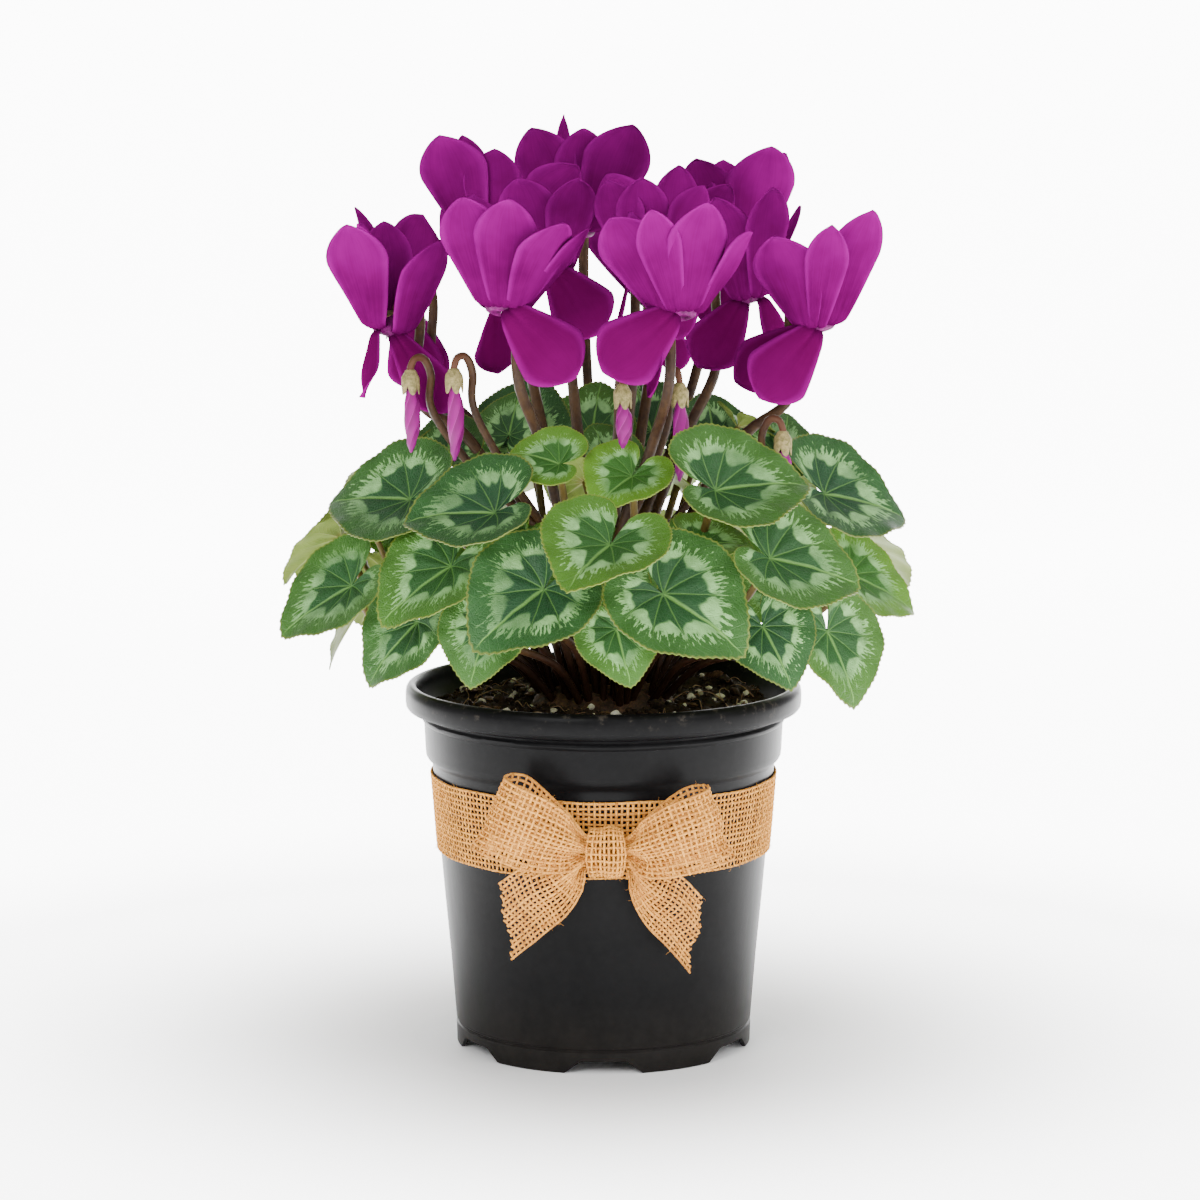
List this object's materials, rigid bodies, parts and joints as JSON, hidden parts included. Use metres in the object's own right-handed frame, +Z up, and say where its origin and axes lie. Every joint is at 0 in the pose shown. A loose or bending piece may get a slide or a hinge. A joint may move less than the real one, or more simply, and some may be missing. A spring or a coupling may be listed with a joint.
{
  "type": "potted cyclamen",
  "caption": "Flowering cyclamen with patterned heart-shaped leaves and hooked buds in a plastic nursery pot, tied with a burlap ribbon band and bow.",
  "frame": {"origin": "middle of the pot's foot, on the surface that it stands on", "axes": "+Z up along the pot's axis; -Y towards the bow, which is the front"},
  "size_m": [0.2136, 0.2034, 0.3037],
  "materials": {
    "pot_plastic": "satin",
    "potting_soil": "matte",
    "stem": "satin",
    "leaf": "satin",
    "leaf_underside": "matte",
    "petal": "matte",
    "burlap": "matte"
  },
  "bodies": {
    "root": {"pot": "pot_plastic", "soil": "potting_soil", "stems": "stem", "leaf_01": "leaf", "leaf_02": "leaf", "leaf_03": "leaf", "leaf_04": "leaf", "leaf_05": "leaf", "leaf_06": "leaf", "leaf_07": "leaf", "leaf_08": "leaf_underside", "leaf_09": "leaf_underside", "leaf_10": "leaf", "leaf_11": "leaf", "leaf_12": "leaf", "leaf_13": "leaf", "leaf_14": "leaf", "leaf_15": "leaf", "leaf_16": "leaf", "leaf_17": "leaf", "leaf_18": "leaf", "leaf_19": "leaf_underside", "leaf_20": "leaf", "leaf_21": "leaf", "leaf_22": "leaf_underside", "leaf_23": "leaf", "leaf_24": "leaf", "leaf_25": "leaf", "leaf_26": "leaf_underside", "leaf_27": "leaf", "leaf_28": "leaf", "leaf_29": "leaf", "leaf_30": "leaf", "leaf_31": "leaf", "leaf_32": "leaf", "leaf_33": "leaf", "leaf_34": "leaf", "bloom_01": "petal", "bloom_02": "petal", "bloom_03": "petal", "bloom_04": "petal", "bloom_05": "petal", "bloom_06": "petal", "bloom_07": "petal", "bloom_08": "petal", "bloom_09": "petal", "bloom_10": "petal", "bloom_11": "petal", "bloom_12": "petal", "bloom_13": "petal", "bloom_14": "petal", "bud_1": "petal", "bud_2": "petal", "bud_3": "petal", "bud_4": "petal", "bud_5": "petal", "ribbon_band": "burlap", "bow": "burlap", "bow_knot": "burlap"}
  },
  "joints": []
}
